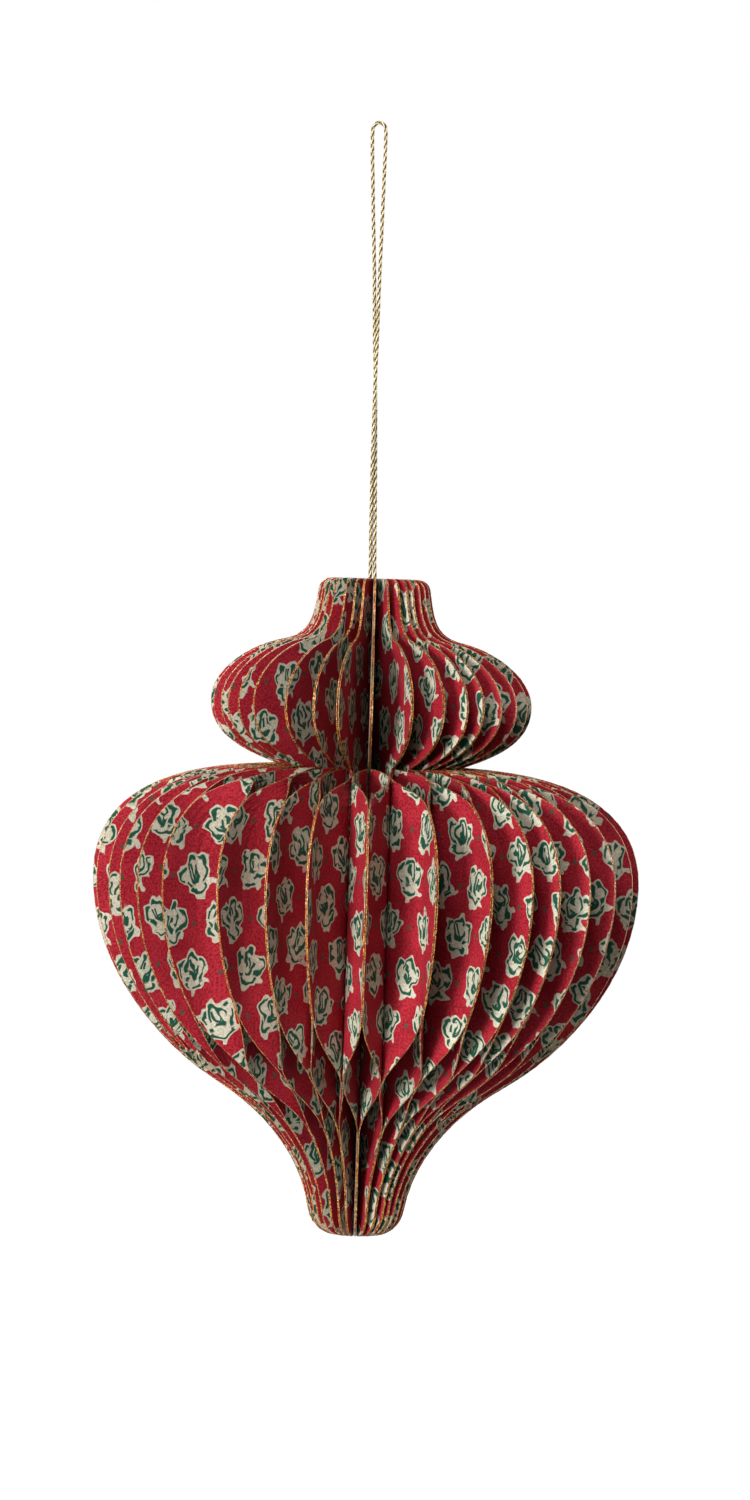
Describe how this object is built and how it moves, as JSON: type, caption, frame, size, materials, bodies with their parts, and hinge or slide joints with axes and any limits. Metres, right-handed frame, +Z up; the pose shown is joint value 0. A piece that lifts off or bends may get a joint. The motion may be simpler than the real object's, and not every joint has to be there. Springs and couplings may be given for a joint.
{
  "type": "honeycomb paper finial",
  "caption": "Hanging honeycomb paper ornament shaped like a turned finial: die-cut patterned leaves bonded in cells round a hollow spine, on a loop of twisted metallic cord.",
  "frame": {"origin": "inside of the cord loop's bend, where the ornament hangs from a hook or twig", "axes": "+Z up along the ornament's spine, +X to the viewer's right and -Y towards the viewer; the spine runs 2.2 mm to the right of the origin"},
  "size_m": [0.1269, 0.127, 0.2593],
  "materials": {
    "printed_card": "matt crimson card printed on both faces with pale sage buds drawn over in dark green, cut edges coated with gold glitter",
    "metallic_cord": "twisted cream and gold metallic thread with a soft shine"
  },
  "bodies": {
    "root": {"leaf_pair_01": "printed_card", "leaf_pair_02": "printed_card", "leaf_pair_03": "printed_card", "leaf_pair_04": "printed_card", "leaf_pair_05": "printed_card", "leaf_pair_06": "printed_card", "leaf_pair_07": "printed_card", "leaf_pair_08": "printed_card", "leaf_pair_09": "printed_card", "leaf_pair_10": "printed_card", "leaf_pair_11": "printed_card", "leaf_pair_12": "printed_card", "leaf_pair_13": "printed_card", "leaf_pair_14": "printed_card", "leaf_pair_15": "printed_card", "leaf_pair_16": "printed_card", "leaf_pair_17": "printed_card", "leaf_pair_18": "printed_card", "leaf_pair_19": "printed_card", "leaf_pair_20": "printed_card", "leaf_pair_21": "printed_card", "leaf_pair_22": "printed_card", "leaf_pair_23": "printed_card", "leaf_pair_24": "printed_card", "leaf_pair_25": "printed_card", "leaf_pair_26": "printed_card", "leaf_pair_27": "printed_card", "leaf_pair_28": "printed_card", "leaf_pair_29": "printed_card", "leaf_pair_30": "printed_card", "leaf_pair_31": "printed_card", "leaf_pair_32": "printed_card", "leaf_pair_33": "printed_card", "leaf_pair_34": "printed_card", "leaf_pair_35": "printed_card", "leaf_pair_36": "printed_card", "hanging_cord": "metallic_cord"}
  },
  "joints": []
}
